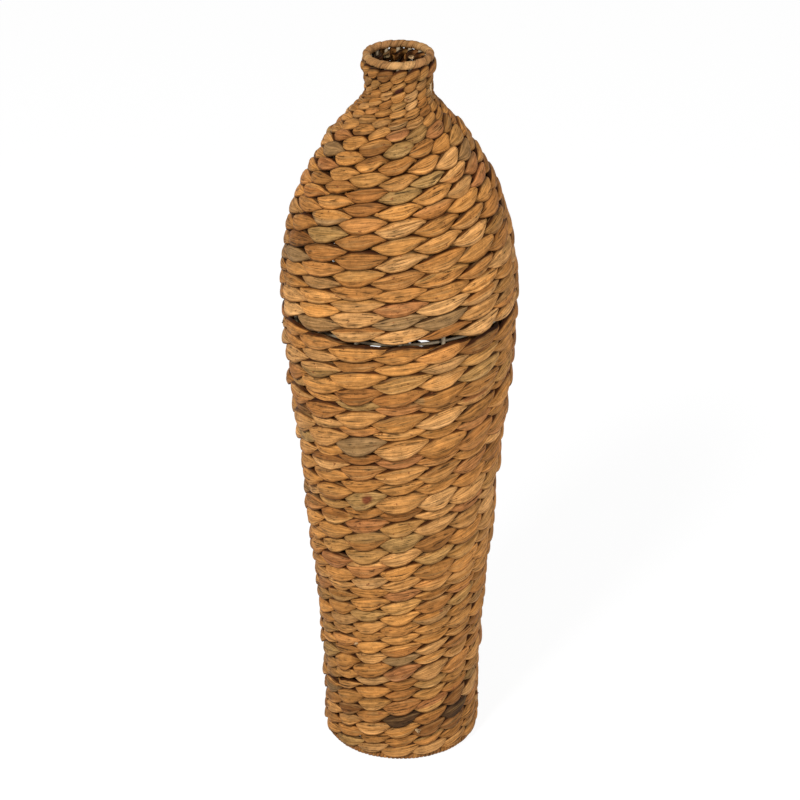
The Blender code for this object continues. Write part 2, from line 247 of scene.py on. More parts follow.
# %% Stem colours and fibre sizes
STEM_COLOURS = {
    "tan": "#c58745",
    "light": "#d9a468",
    "brown": "#955c2c",
    "deep": "#70421f",
    "pink": "#ab6d42",
    "olive": "#a58450",
    "grey": "#86704f",
    "dark": "#46301d",
    "maroon": "#3a1b12",
    "pith": "#c4a47a",
}
STREAK_COLOUR = "#8f6d42"
SCAR_COLOUR = "#6b3a1e"
SHEEN = 0.08  # specular level; 0.5 is usual

# Each pattern's length along the fibre and distance across it, in millimetres, and its detail. The
# real ribs are about 0.7 mm apart and the specks smaller still: at 1 mm they are drawn to show.
FIBRE_SIZES = {
    "ribs": (34, 1.0, 2.5),
    "streaks": (45, 3.0, 2.0),
    "creases": (90, 2.2, 1.0),
    "folds": (160, 5.0, 0.5),
    "blotches": (10, 5.0, 3.0),
    "specks": (1.8, 1.0, 1.0),
    "scars": (7.0, 4.0, 2.0),
}
MOST_NOISE = (0.3, 0.7)  # nearly all values of a noise lie between these
print("stem colours:", ", ".join(STEM_COLOURS))


# %% Stem material
def stem_material(name, contrast):
    """Make dried hyacinth stem: matt, ribbed along the fibre, streaked and speckled."""
    material, tree, output = new_material(name)
    base = add_node(tree, "ShaderNodeAttribute", {"attribute_name": "stem_colour"})
    place = add_node(tree, "ShaderNodeUVMap", {"uv_map": "UVMap"})

    noises = {}
    for label, (along, across, detail) in FIBRE_SIZES.items():
        stretch = add_node(tree, "ShaderNodeMapping", {"label": label},
                           {"Vector": place.outputs[0], "Scale": (1000 / along, 1000 / across, 1.0)})
        noise = add_node(tree, "ShaderNodeTexNoise", {"label": label, "noise_dimensions": "2D"},
                         {"Vector": stretch.outputs[0], "Scale": 1.0, "Detail": detail, "Roughness": 0.6})
        noises[label] = noise.outputs[0]
    for label in ("creases", "folds"):  # thin lines, where the noise crosses its middle
        centred = add_node(tree, "ShaderNodeMath", {"operation": "SUBTRACT"}, {0: noises[label], 1: 0.5})
        distance = add_node(tree, "ShaderNodeMath", {"operation": "ABSOLUTE"}, {0: centred.outputs[0]})
        noises[label] = distance.outputs[0]

    # Each level: its noise, the noise's range, what that range becomes, and whether it is smoothed
    ranges = {
        "rib_tone": ("ribs", *MOST_NOISE, 1 - 0.36 * contrast, 1 + 0.26 * contrast, "LINEAR"),
        "blotch_tone": ("blotches", *MOST_NOISE, 1 - 0.24 * contrast, 1 + 0.18 * contrast, "LINEAR"),
        "crease_line": ("creases", 0.0, 0.030, 1.0, 0.0, "SMOOTHSTEP"),
        "crease_share": ("blotches", 0.42, 0.58, 0.90 * contrast, 0.30 * contrast, "SMOOTHSTEP"),
        "fold_line": ("folds", 0.0, 0.014, 0.65 * contrast, 0.0, "SMOOTHSTEP"),
        "speck_tone": ("specks", 0.70, 0.78, 1.0, 0.45, "SMOOTHSTEP"),
        "streak_share": ("streaks", 0.52, 0.72, 0.0, 0.45, "SMOOTHSTEP"),
        "scar_share": ("scars", 0.70, 0.76, 0.0, 0.75, "SMOOTHSTEP"),
        "roughness": ("ribs", *MOST_NOISE, 0.74, 0.56, "LINEAR"),  # worn smoother on top of the ribs
    }
    levels = {}
    for label, (noise, low, high, start, end, kind) in ranges.items():
        level = add_node(tree, "ShaderNodeMapRange", {"label": label, "interpolation_type": kind},
                         {0: noises[noise], 1: low, 2: high, 3: start, 4: end})
        levels[label] = level.outputs[0]

    crease = add_node(tree, "ShaderNodeMath", {"operation": "MULTIPLY"},
                      {0: levels["crease_line"], 1: levels["crease_share"]})
    groove = add_node(tree, "ShaderNodeMath", {"operation": "MAXIMUM"},
                      {0: crease.outputs[0], 1: levels["fold_line"]})
    ungrooved = add_node(tree, "ShaderNodeMath", {"operation": "SUBTRACT"}, {0: 1.0, 1: groove.outputs[0]})
    relief = add_node(tree, "ShaderNodeMath", {"operation": "MULTIPLY"},
                      {0: levels["rib_tone"], 1: ungrooved.outputs[0]})
    tone = levels["rib_tone"]
    for factor in (levels["blotch_tone"], ungrooved.outputs[0], levels["speck_tone"]):
        product = add_node(tree, "ShaderNodeMath", {"operation": "MULTIPLY"}, {0: tone, 1: factor})
        tone = product.outputs[0]

    colour = base.outputs["Color"]
    for share, tint in (("streak_share", STREAK_COLOUR), ("scar_share", SCAR_COLOUR)):
        tinted = add_node(tree, "ShaderNodeMix", {"data_type": "RGBA"},
                          {0: levels[share], 6: colour, 7: (*linear(tint), 1.0)})
        colour = tinted.outputs[2]
    coloured = add_node(tree, "ShaderNodeVectorMath", {"operation": "SCALE"}, {0: colour, "Scale": tone})
    bump = add_node(tree, "ShaderNodeBump", None,
                    {"Height": relief.outputs[0], "Strength": 0.5, "Distance": 0.0010})
    shader = add_node(tree, "ShaderNodeBsdfPrincipled", None,
                      {"Base Color": coloured.outputs[0], "Roughness": levels["roughness"],
                       "Specular IOR Level": SHEEN, "Normal": bump.outputs[0]})
    tree.links.new(shader.outputs[0], output.inputs["Surface"])
    return material


STEM = stem_material("dried_water_hyacinth_stem", 1.0)
STRIP = stem_material("split_water_hyacinth_strip", 0.70)  # split and soaked for winding, so smoother
print("stem material has", len(STEM.node_tree.nodes), "nodes")

# %% [markdown]
# Two stems make one row. They run round the vase as a twisted pair: one passes outside a stake
# while the other passes inside it, and between two stakes they swap. Seen from outside, each
# stake is covered by a lens of stem that rises to the right. A curve with a bevel could follow
# such a helix, but its section couldn't flatten, fold and narrow on the way. So one closed ring of
# faces, made by spinning a circle, is the blank for every stem, and a formula bends each copy.

# %% Blank ring for the stems
BLANK_RADIUS = 0.25  # on a ring of radius 1; every copy is given points of its own
STEM_STEPS = 16  # from one stake to the next
STEM_CORNERS = 24


def snap(angles, steps):
    """Round angles to whole steps of a turn, from 0 up to a full turn."""
    step = 2 * math.pi / steps
    return np.mod(np.round(angles / step), steps) * step


def unwrap(values):
    """Lift the angles of faces that straddle the seam, so that no face spans the whole circle."""
    faces = values.reshape(-1, 4).copy()
    spans = faces.max(axis=1) - faces.min(axis=1) > math.pi
    faces[spans] = np.where(faces[spans] < math.pi, faces[spans] + 2 * math.pi, faces[spans])
    return faces.reshape(-1)


def ring_blank(columns, corners):
    """Spin a circle into a closed ring and measure each vertex's angle round and across."""
    shape = bmesh.new()
    place = Matrix.Translation((1.0, 0.0, 0.0)) @ Matrix.Rotation(math.pi / 2, 4, "X")
    circle = bmesh.ops.create_circle(shape, segments=corners, radius=BLANK_RADIUS, matrix=place)
    bmesh.ops.spin(shape, geom=circle["verts"] + shape.edges[:], cent=(0, 0, 0), axis=(0, 0, 1),
                   steps=columns, angle=2 * math.pi, use_merge=True)
    bmesh.ops.remove_doubles(shape, verts=shape.verts, dist=1e-5)
    bmesh.ops.recalc_face_normals(shape, faces=shape.faces)
    mesh = bpy.data.meshes.new("ring_blank")
    shape.to_mesh(mesh)
    shape.free()
    points = np.empty(3 * len(mesh.vertices), np.float32)
    mesh.vertices.foreach_get("co", points)
    points = points.reshape(-1, 3).astype(float)
    around = snap(np.arctan2(points[:, 1], points[:, 0]), columns)
    across = snap(np.arctan2(points[:, 2], np.hypot(points[:, 0], points[:, 1]) - 1.0), corners)
    corner_of = np.empty(len(mesh.loops), np.int32)
    mesh.loops.foreach_get("vertex_index", corner_of)
    return {"mesh": mesh, "around": around, "across": across,
            "loop_around": unwrap(around[corner_of]), "loop_across": unwrap(across[corner_of])}


blank = ring_blank(STEM_STEPS * STAKES, STEM_CORNERS)
print("the blank has", len(blank["mesh"].polygons), "faces")


# %% Bend a copy of a blank
def new_piece(name, mesh, material):
    """Finish a mesh with its material and smooth shading and add it to the vase."""
    mesh.materials.append(material)
    mesh.shade_smooth()
    item = bpy.data.objects.new(name, mesh)
    scene.collection.objects.link(item)
    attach(item, "root")
    return item


def paint_mesh(mesh, colours):
    """Give each vertex the linear colour that the stem material reads."""
    paint = mesh.color_attributes.new("stem_colour", "FLOAT_COLOR", "POINT")
    rgba = np.concatenate([colours, np.ones((len(colours), 1))], axis=1)
    paint.data.foreach_set("color", rgba.astype(np.float32).reshape(-1))


def bent_copy(blank, name, points, uv, colours, material, slot, *replaced):
    """Copy a blank, give it new points, a UV map and painted colours, and hand it to the frame."""
    mesh = blank["mesh"].copy()
    mesh.name = name
    mesh.vertices.foreach_set("co", points.astype(np.float32).reshape(-1))
    if uv is not None:
        layer = mesh.uv_layers.new(name="UVMap")
        layer.uv.foreach_set("vector", uv.astype(np.float32).reshape(-1))
    if colours is not None:
        paint_mesh(mesh, colours)
    mesh.update()
    item = new_piece(name, mesh, material)
    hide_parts(*replaced)


print("each copy has", len(blank["around"]), "points to place")

# %% [markdown]
# No two lenses are alike: a hand sets each one a little higher, fatter or flatter. A plain helix
# would look like rope from a machine, and a hundred stems are too many to sculpt. So a few random
# numbers for each lens, from a fixed seed, are blended along the stem, and each lens changes
# smoothly into the next. Only the lenses that stand out on the real vase, by their colour or by a
# slit beside them, are listed.

# %% Lenses that stand out
# Lenses whose colour stands out: the row, and the stake counted from the front one
SPECIAL = {
    ("upper_row_08", 0): "olive", ("upper_row_10", -3): "pink",
    ("upper_row_11", 0): "olive", ("upper_row_11", -1): "brown", ("upper_row_12", -1): "brown",
    ("upper_row_14", -2): "olive", ("upper_row_15", -3): "deep", ("upper_row_16", -3): "grey",
    ("upper_row_18", 0): "pink", ("upper_row_19", 0): "grey", ("upper_row_19", 1): "grey",
    ("upper_row_20", 1): "brown", ("lower_row_04", -1): "brown", ("lower_row_05", -1): "olive",
    ("lower_row_08", -1): "grey", ("lower_row_09", -1): "brown", ("lower_row_09", 0): "pink",
    ("lower_row_12", -1): "olive", ("lower_row_13", 0): "brown", ("lower_row_14", -1): "pink",
    ("lower_row_15", 0): "olive", ("lower_row_25", 0): "grey", ("lower_row_29", 2): "deep",
    ("lower_row_30", -2): "deep", ("lower_row_30", 0): "dark", ("lower_row_30", 2): "dark",
    ("lower_row_31", 1): "deep", ("lower_row_31", 2): "deep",
}

# Lenses squeezed flat, which leave the slits beside the waist hoop and, seen through them, in the
# wall behind, and dark gaps low on the left: how wide the lens stays, and how far it rises
SQUEEZED = {
    ("upper_row_20", 0): (0.94, 0.03), ("upper_row_20", 1): (0.74, 0.24),
    ("lower_row_07", 7): (0.56, 0.24), ("lower_row_08", 7): (0.84, -0.06),
    ("lower_row_07", 8): (0.58, 0.24), ("lower_row_08", 8): (0.84, -0.06),
    ("lower_row_07", -7): (0.78, 0.12), ("lower_row_08", -7): (0.92, -0.02),
    ("lower_row_27", -2): (0.92, 0.08), ("lower_row_28", -2): (0.72, -0.14),
    ("lower_row_27", -1): (0.80, 0.12),
}

# Dark spots on single lenses: a reddish knot on the body and a maroon strip of rind on the neck
SPOTS = [
    {"row": "lower_row_12", "stem": 1, "stake": -0.83, "across": -0.02, "half": (0.17, 0.50),
     "colour": "#6e3a20"},
    {"row": "upper_row_02", "stem": 0, "stake": 0.05, "across": -0.62, "half": (0.50, 0.50),
     "colour": "#3a1b12"},
]
print(len(SPECIAL), "lenses have a colour of their own and", len(SQUEEZED), "are squeezed")

# %% Vary the lenses
LENSES = STAKES // 2  # a stem passes outside every second stake


def blend_round(values, turns):
    """Blend one value for each lens smoothly along the stem; a whole turn is a lens's middle."""
    low = np.floor(turns).astype(int)
    share = turns - low
    share = share * share * (3 - 2 * share)
    return values[low % len(values)] * (1 - share) + values[(low + 1) % len(values)] * share


def smooth_step(values, low, high):
    """Rise smoothly from 0 at low to 1 at high."""
    share = np.clip((values - low) / (high - low), 0, 1)
    return share * share * (3 - 2 * share)


def vary(run, amount, middle=0.0, factor=1.0, extra=0.0):
    """Draw one value for each lens of a stem and blend them along it."""
    values = factor * (middle + amount * run["draws"].standard_normal(LENSES)) + extra
    return blend_round(values, run["turns"])


print("a quarter of the way up, smooth_step gives", smooth_step(0.25, 0, 1))

# %% [markdown]
# A stem stays outside a little past the crossing and narrows to a point there, until its twin
# covers it. All this is worked out for every vertex of the blank at once, in distances between
# stakes, counted from the middle of the lens that the vertex belongs to. Each step is tried on one
# sample stem first, which isn't kept.

# %% Follow a stem round the vase
SEAM_STAKE = 9  # the blank's seam lies inside this stake, at the back
FIRST_SEED = 4100  # each stem has draws of its own
SLIP_SEED = 8200  # the two stems of a row share these, to cross at the same places
SLIP = 0.05  # how far the crossings stray, in distances between stakes
CROSSING_DELAY = 1.6  # above 1, a stem stays outside past the crossing, until its twin covers it
TIP = 0.60  # where it is narrowest, counted from the stake it covers; the pair crosses at 0.5
PINCH_REACH = 0.48  # how far on either side of that it narrows
PINCH_CURVE = 1.25  # above 1, it narrows slowly at first
NECK = (0.70, 0.74)  # the neck begins between these heights, in metres


def follow_stem(row, which, number):
    """Find where each vertex of the blank lies along one stem of a row's pair."""
    row_draws = np.random.default_rng(SLIP_SEED + number)
    seam = SEAM_STAKE - which
    place = STAKES * blank["around"] / (2 * math.pi) - 1  # in stakes, 0 over the first lens
    stake = np.mod(place + seam + 1, STAKES)
    slip = (SLIP * row_draws.standard_normal(STAKES))[np.floor(stake).astype(int)]
    place = place - slip * np.sin(math.pi * stake) ** 2
    local = np.mod(place + 1, 2) - 1
    past = np.abs(np.abs(local) - TIP)  # how far the stem is from its narrowest place
    return {
        "draws": np.random.default_rng(FIRST_SEED + 2 * number + which),
        "keys": [(row["name"], seam + 1 - STAKES + 2 * index) for index in range(LENSES)],
        "angle": FRONT + seam * STAKE_ANGLE + blank["around"],
        "stake": stake,
        "turns": place / 2,
        "lens": np.mod(np.floor(place / 2 + 0.5).astype(int), LENSES),
        "local": local,
        "out": np.cos(math.pi * np.abs(local) ** CROSSING_DELAY),  # 1 outside a stake, -1 inside
        "crossing": np.clip(1 - past / PINCH_REACH, 0, 1) ** PINCH_CURVE,
        "on_neck": smooth_step(row["middle"][1], *NECK),  # 1 on the neck, where the stems are beaten down tighter and painted darker
    }


sample_row = seats[LOWER_ROWS[9]]
sample = follow_stem(sample_row, 0, 0)
print("a stem is outside for", round(100 * np.mean(sample["out"] > 0)), "% of its way round")

# %% [markdown]
# Each lens leans out at its lower edge, so that it lies over the row below like a tile. It is
# thicker where it is narrow, because the pith keeps its area. On the belly the stems are pressed
# flat, and from the shoulder up they lie rounder, as the rows there turn more tightly. A flat
# ribbon would be quicker to bend, but its thin edge would show between the rows.

# %% Measure a stem along its run
WIDE = 1.27  # how wide it is over a stake, as a share of the row's height
TAPER = 0.25  # how much less where it passes inside the next stake
PINCH = 0.70  # how much narrower it is at a crossing
POINTED = 0.18  # how much more it is pinched on the shoulder, as a share of the pinch
TIGHT = 0.30  # and how much less on the neck and in the lowest row, where little room is left
FLATNESS = 0.38  # how thick it is over a stake, as a share of the row's height
PUFF = 0.20  # how much thicker it is from the shoulder up
KEEPS_AREA = 0.7  # 1 would keep the whole area of the section where the stem narrows
MOST_THICKER = 1.5
TOP_PUSH = 0.12  # how far the top row is pushed up under the rim
LEAN = 0.26  # radians
LESS_LEAN = 0.07  # from the shoulder up
SLOPE = 0.17  # how far a lens rises from its middle to its end, as a share of the row's height
SHOULDER = (0.55, 0.70)  # stems lie rounder from between these heights, in metres
SPREADS = {"rise": 0.045, "fat": 0.10, "width": 0.055, "lean": 0.08, "slope": 0.03}  # from lens to lens


def measure_stem(row, run):
    """Choose how wide and thick a stem is along its run, and how each lens sits, in metres."""
    height = row["height"]
    squeeze = np.array([SQUEEZED.get(key, (1.0, 0.0)) for key in run["keys"]])
    rise = vary(run, SPREADS["rise"], 0.0, 1.0, squeeze[:, 1]) * height
    if row["name"] == UPPER_ROWS[0]:
        rise = rise + TOP_PUSH * height
    round_here = smooth_step(row["middle"][1], *SHOULDER)
    fat = vary(run, SPREADS["fat"], 1.0 + PUFF * round_here)
    share = vary(run, SPREADS["width"], 1.0, squeeze[:, 0])
    lean = vary(run, SPREADS["lean"], LEAN - LESS_LEAN * round_here)
    slope = vary(run, SPREADS["slope"], SLOPE)
    tight = max(run["on_neck"], float(row["name"] == LOWER_ROWS[-1]))
    pointed = 1 + POINTED * round_here * (1 - run["on_neck"]) - TIGHT * tight
    width = (WIDE - TAPER * run["local"] ** 2) * share - PINCH * pointed * run["crossing"]
    thick = FLATNESS * fat * np.minimum((WIDE / width) ** KEEPS_AREA, MOST_THICKER) * height
    crest = STAKE_RADIUS + CLEARANCE + FLATNESS * fat * height / 2
    return {"rise": rise, "lean": lean, "slope": slope, "width": width * height, "thick": thick,
            "crest": crest}


sample_size = measure_stem(sample_row, sample)
widths = 1000 * sample_size["width"]
print("a stem is", round(widths.min(), 1), "to", round(widths.max(), 1), "mm wide")

# %% [markdown]
# A dried stem's section is a flattened oval with tight edges, and long folds run along it where
# the pith shrank. Displacement from a texture could draw the folds, but it would need far more
# faces. Here three wandering valleys dent each stem, each with a low ridge beside it, and more of
# the blank's corners are gathered on the outside half, where the shape shows.

# %% Section and folds
FULLER = 0.42  # how strongly the corners gather on the outside
CORNER_CURVE = 0.92  # the oval's powers; 1, 2 and 0.5 would make an ellipse
OVAL = (2.3, 0.80)
FOLDS = 3
TRACK = 0.85  # a fold runs at most this far from the middle, in half widths, and wanders from there
WANDER = 0.22
FOLD_SPREAD = 0.035  # the folds' depths, as a share of the stem's thickness
SHALLOWEST = 0.004
NARROWEST = 0.09  # a valley's half width, and how much wider some are
WIDER = 0.05
RIDGE = 0.6  # how high the ridge beside a valley is, as a share of its depth

gathered = blank["across"] - FULLER * np.sin(blank["across"])
edge = np.sign(np.sin(gathered)) * np.abs(np.sin(gathered)) ** CORNER_CURVE
blank["edge"] = edge  # from -1 at the lower edge to 1 at the upper
blank["side"] = np.sign(np.cos(gathered)) * (1 - np.minimum(np.abs(edge), 1) ** OVAL[0]) ** OVAL[1]


def fold_stem(run):
    """Draw the folds of a stem: how deep they dent it, and how dark they are painted, as shade in each
    valley and the fold's own dark line.
    """
    edge = blank["edge"]
    dent = np.zeros_like(edge)
    dark = np.zeros_like(edge)
    for _ in range(FOLDS):
        track = run["draws"].uniform(-TRACK, TRACK) + vary(run, WANDER)
        depth = np.abs(vary(run, FOLD_SPREAD)) + SHALLOWEST
        reach = NARROWEST + WIDER * run["draws"].random()
        valley = np.exp(-((edge - track) / reach) ** 2)
        ridge = np.exp(-((edge - track - 2.2 * reach) / (1.6 * reach)) ** 2)
        dent = dent + depth * (valley - RIDGE * ridge)
        # painted shade in the valley, darker where the fold dents deeper, with the fold's own dark line
        dark = np.maximum(dark, np.clip(depth * 5.0, 0, 0.4) * valley)
    return dent, dark


sample_dent, sample_dark = fold_stem(sample)
print("a fold darkens the stem by up to", round(100 * sample_dark.max()), "%")

# %% Bend a stem through its row
FOLD_DEPTH = 1.2  # how strongly the folds dent the outside
CROSSING_STEP = 0.12  # how far it is pushed down before a lens and up after it


def bend_stem(row, run, size, dent):
    """Place a stem's points: round the vase, out and in past the stakes, and up across the row."""
    facing = np.clip(blank["side"], 0, 1) ** 0.5
    offset_out = size["thick"] / 2 * blank["side"] * (1 - FOLD_DEPTH * dent * facing)
    offset_up = size["width"] / 2 * blank["edge"]
    outside = np.clip(run["out"], 0, 1)
    tilt = size["lean"] * outside
    push_out = size["crest"] * run["out"] + offset_out * np.cos(tilt) - offset_up * np.sin(tilt)
    push_up = CROSSING_STEP * run["crossing"] * np.sign(run["local"])
    push_up = (push_up + size["slope"] * np.sin(math.pi * run["local"])) * row["height"]
    push_up = push_up + size["rise"] * outside
    push_up = push_up + offset_up * np.cos(tilt) + offset_out * np.sin(tilt)
    radius = row["middle"][0] + row["normal"][0] * push_out + row["along"][0] * push_up
    lift = row["middle"][1] + row["normal"][1] * push_out + row["along"][1] * push_up
    return np.stack([radius * np.cos(run["angle"]), radius * np.sin(run["angle"]), lift], axis=1)


sample_points = bend_stem(sample_row, sample, sample_size, sample_dent)
print("the bent stem is", round(1000 * np.ptp(sample_points[:, 0])), "mm across")

# %% [markdown]
# A weaver takes stems as they come, so the colour changes from lens to lens, and some stems are
# two-toned along a line where rind and inner stalk meet. A lens's edges are painted dark and warm:
# that is painted shade, for the little light that reaches between two rows, as rendered shade
# alone leaves them too pale.

# %% Choose the lenses' colours
LIGHTNESS = 0.79  # how light a lens is beside its plant's own colour
LIGHT_SPREAD = 0.085
MARKED_LIGHTNESS = 0.78  # for a lens that stands out
PLANTS = {"light": 0.28, "brown": 0.22, "deep": 0.10, "pink": 0.16, "olive": 0.18, "grey": 0.06}


def from_tan(name, share):
    """Shift the usual tan towards another plant's colour."""
    tan = np.array(linear(STEM_COLOURS["tan"]))
    return (1 - share) * tan + share * np.array(linear(STEM_COLOURS[name]))


def lens_colours(draws):
    """Draw a colour for each lens of one stem; a plant's colour may last for two lenses."""
    colours = []
    while len(colours) < LENSES:
        plant = list(PLANTS)[draws.choice(len(PLANTS), p=list(PLANTS.values()))]
        for _ in range(draws.integers(1, 3)):
            share = 0.85 * draws.beta(1.1, 1.9)
            colours.append(from_tan(plant, share) * (LIGHTNESS + LIGHT_SPREAD * draws.standard_normal()))
    return np.array(colours[:LENSES])


print("plants besides the tan ones:", ", ".join(PLANTS))

# %% Paint a stem
TUCKED = 0.62  # painted shade: how much darker a stem is where its twin covers it
TUCKED_NECK = 0.22  # how much more on the neck
EDGE_LOSS = 0.90  # how much of its light an edge loses, as painted shade
UPPER_EDGE = (0.51, 0.69)  # where that begins and is full, in half widths
LOWER_EDGE = (0.87, 0.97)
TUCKED_FROM = (0.62, 0.80)  # where a stem slides under its twin, in distances between stakes
NARROWER = 0.08  # on the neck the dark edges are narrow, but there are two of them
SHADE_WARMTH = np.array([1.0, 1.22, 1.7])  # painted shade is tinted warm, as light bounced between the stems is: red fades last
NECK_DARKENING = 0.22  # how much darker the neck is painted
FLOOR_SHADE = 0.10  # painted shade: how much darker the lowest rows are, near the floor
FOOT = (0.05, 0.16)  # that painted shade ends between these heights, in metres


def edge_shade(run):
    """Paint shade along a stem's edges and where it is tucked under its twin, with a pale line here and
    there.
    """
    edge = blank["edge"]
    narrow = NARROWER * run["on_neck"]
    shade = 1 - EDGE_LOSS * smooth_step(edge, UPPER_EDGE[0] + narrow, UPPER_EDGE[1] + 0.5 * narrow)
    lower = smooth_step(-edge, LOWER_EDGE[0] - 1.5 * narrow, LOWER_EDGE[1] - narrow)
    shade = shade - EDGE_LOSS * lower
    pale = np.clip(vary(run, 1.0), 0, 1.5) * np.exp(-((edge + 0.70) / 0.10) ** 2)
    tucked = smooth_step(np.abs(run["local"]), TUCKED_FROM[0] - narrow, TUCKED_FROM[1] - narrow)
    return shade + 0.28 * pale, 1 - (TUCKED + TUCKED_NECK * run["on_neck"]) * tucked


def paint_stem(row, which, run, split, dark):
    """Colour a stem: its lenses, a second tone beyond the split, painted shade on its edges, folds and
    tucked ends, a darker neck, painted shade near the floor, and spots.
    """
    edge = blank["edge"]
    colours = lens_colours(run["draws"])
    for index, key in enumerate(run["keys"]):
        if key in SPECIAL:
            share = 0.95 if SPECIAL[key] == "dark" else 0.7
            colours[index] = MARKED_LIGHTNESS * from_tan(SPECIAL[key], share)
    colours = colours[run["lens"]]
    seconds = lens_colours(run["draws"])[run["lens"]]
    special = np.array([key in SPECIAL for key in run["keys"]])[run["lens"]]
    second_side = smooth_step(edge - split - vary(run, 0.3), -0.05, 0.05)
    two_tone = (second_side * (vary(run, 1.0) > 0.6) * ~special)[:, None]
    colours = colours * (1 - two_tone) + seconds * two_tone

    rim_shade, tucked_shade = edge_shade(run)
    # painted shade: dark bands along the edges and in the folds' valleys, and where the twin covers the
    # stem
    shade = rim_shade * (1 - dark) * tucked_shade
    # the painted shade is tinted warm
    colours = colours * shade[:, None] ** SHADE_WARMTH
    # painted shade on the lowest rows, near the floor, and a darker neck
    near_floor = 1 - smooth_step(row["middle"][1], *FOOT)
    colours = colours * (1 - NECK_DARKENING * run["on_neck"] - FLOOR_SHADE * near_floor)
    from_front = np.mod(run["stake"] + STAKES / 2, STAKES) - STAKES / 2
    for mark in SPOTS:
        if row["name"] == mark["row"] and which == mark["stem"]:
            sideways = (from_front - mark["stake"]) / mark["half"][0]
            upwards = (edge - mark["across"]) / mark["half"][1]
            spot = 1 - smooth_step(np.hypot(sideways, upwards), 0.6, 1.0)[:, None]
            colours = colours * (1 - spot) + np.array(linear(mark["colour"])) * spot
    return colours


sample_paint = paint_stem(sample_row, 0, sample, 0.0, sample_dark)
print("its colours lie between", round(sample_paint.min(), 3), "and", round(sample_paint.max(), 3))

# %% Wind the stems
HALF_GIRTH = 1.25  # half the way round a stem's section, as a share of the row's height
PATCH = 50  # metres; each stem's map starts anywhere within it, so that no two look the same


def fibre_map(row, draws):
    """Lay the fibre along a stem and round its section, in metres."""
    spacing = row["middle"][0] * STAKE_ANGLE
    along = STAKES * blank["loop_around"] / (2 * math.pi) * spacing + draws.uniform(0, PATCH)
    across = blank["loop_across"] - FULLER * np.sin(blank["loop_across"])
    across = across / math.pi * HALF_GIRTH * row["height"] + draws.uniform(0, PATCH)
    return np.stack([along, across], axis=1)


def wind_stem(row, which, number):
    """Bend a copy of the blank into one stem of a row's pair and paint its colours."""
    run = follow_stem(row, which, number)
    size = measure_stem(row, run)
    split = run["draws"].uniform(-0.5, 0.5)  # where the second tone begins, across the stem
    dent, dark = fold_stem(run)
    points = bend_stem(row, run, size, dent)
    colours = paint_stem(row, which, run, split, dark)
    uv = fibre_map(row, run["draws"])
    name = f"{row['name']}_stem_{'ab'[which]}"
    bent_copy(blank, name, points, uv, colours, STEM, "stem_tan", row["name"])


for number, name in enumerate(UPPER_ROWS + LOWER_ROWS):
    for which in (0, 1):
        wind_stem(seats[name], which, number)
print("wound", 2 * len(seats), "stems")

# %% [markdown]
# Where a new stem was laid in, the cut end of the old one still shows, and a few of them break the
# evenness of the rows. A plain cylinder would look like a peg. Each end here is a short flattened
# cone whose top face is inset and sunk, as the pith shrinks deeper than the rind, and whose rim is
# torn.

# %% Loose ends
# The row, the place in stakes from the front, how far out, the direction (out, up, sideways),
# the length and half width in metres, and the colour
LOOSE_ENDS = [
    ("upper_row_01", -6.55, -0.0050, (-0.80, 0.55, 0.20), 0.010, 0.0030, "grey"),
    ("upper_row_01", 6.35, -0.0050, (-0.85, 0.45, -0.15), 0.010, 0.0032, "pith"),
    ("upper_row_03", 2.95, 0.0062, (0.10, 0.95, -0.20), 0.016, 0.0022, "pith"),
    ("lower_row_31", 0.52, 0.0088, (0.75, 0.10, 0.60), 0.005, 0.0026, "pith"),
    ("lower_row_02", -3.70, 0.0040, (0.50, 0.25, -0.80), 0.012, 0.0028, "maroon"),
    ("lower_row_31", 3.70, 0.0045, (0.70, 0.30, 0.60), 0.010, 0.0026, "deep"),
    ("lower_row_24", -1.47, 0.0080, (0.80, 0.15, -0.50), 0.004, 0.0018, "pith"),
]


END_CORNERS = 14
END_FLATNESS = 0.62  # its thickness, as a share of its width


def end_shape(length, thick, draws):
    """Cut a stem's end: a cone that widens upwards, its pith sunk and its rim torn."""
    shape = bmesh.new()
    bmesh.ops.create_cone(shape, cap_ends=True, segments=END_CORNERS, radius1=0.75 * thick,
                          radius2=thick, depth=length)
    upright = [edge for edge in shape.edges if abs(edge.verts[0].co.z - edge.verts[1].co.z) > length / 2]
    bmesh.ops.subdivide_edges(shape, edges=upright, cuts=4, use_grid_fill=True)
    top = max(shape.faces, key=lambda face: face.calc_center_median().z)
    torn = list(top.verts)
    bmesh.ops.inset_individual(shape, faces=[top], thickness=0.32 * thick, depth=-0.9 * thick)
    for vertex in torn:
        vertex.co.z += thick * draws.uniform(-0.5, 0.6)
        vertex.co.xy = vertex.co.xy * draws.uniform(0.85, 1.25)
    return shape


def loose_end(name, place, aim, length, thick, colour, seed):
    """Shape one cut stem end, map and flatten it, point it along aim and paint it."""
    shape = end_shape(length, thick, np.random.default_rng(seed))
    fibres = shape.loops.layers.uv.new("UVMap")
    for face in shape.faces:
        for corner in face.loops:
            turn = math.atan2(corner.vert.co.y, corner.vert.co.x)
            corner[fibres].uv = (corner.vert.co.z + seed, turn * thick)
    for vertex in shape.verts:
        vertex.co.y *= END_FLATNESS
        vertex.co.x += 0.25 * thick * math.sin(4 * vertex.co.z / length + seed)  # a slight bend
    turned = aim.to_track_quat("Z", "Y").to_matrix().to_4x4()
    bmesh.ops.transform(shape, matrix=Matrix.Translation(place) @ turned, verts=shape.verts)
    bmesh.ops.recalc_face_normals(shape, faces=shape.faces)
    mesh = bpy.data.meshes.new(name)
    shape.to_mesh(mesh)
    shape.free()
    paint_mesh(mesh, np.tile(linear(STEM_COLOURS[colour]), (len(mesh.vertices), 1)))
    item = new_piece(name, mesh, STEM)
    mesh.set_sharp_from_angle(angle=math.radians(55))


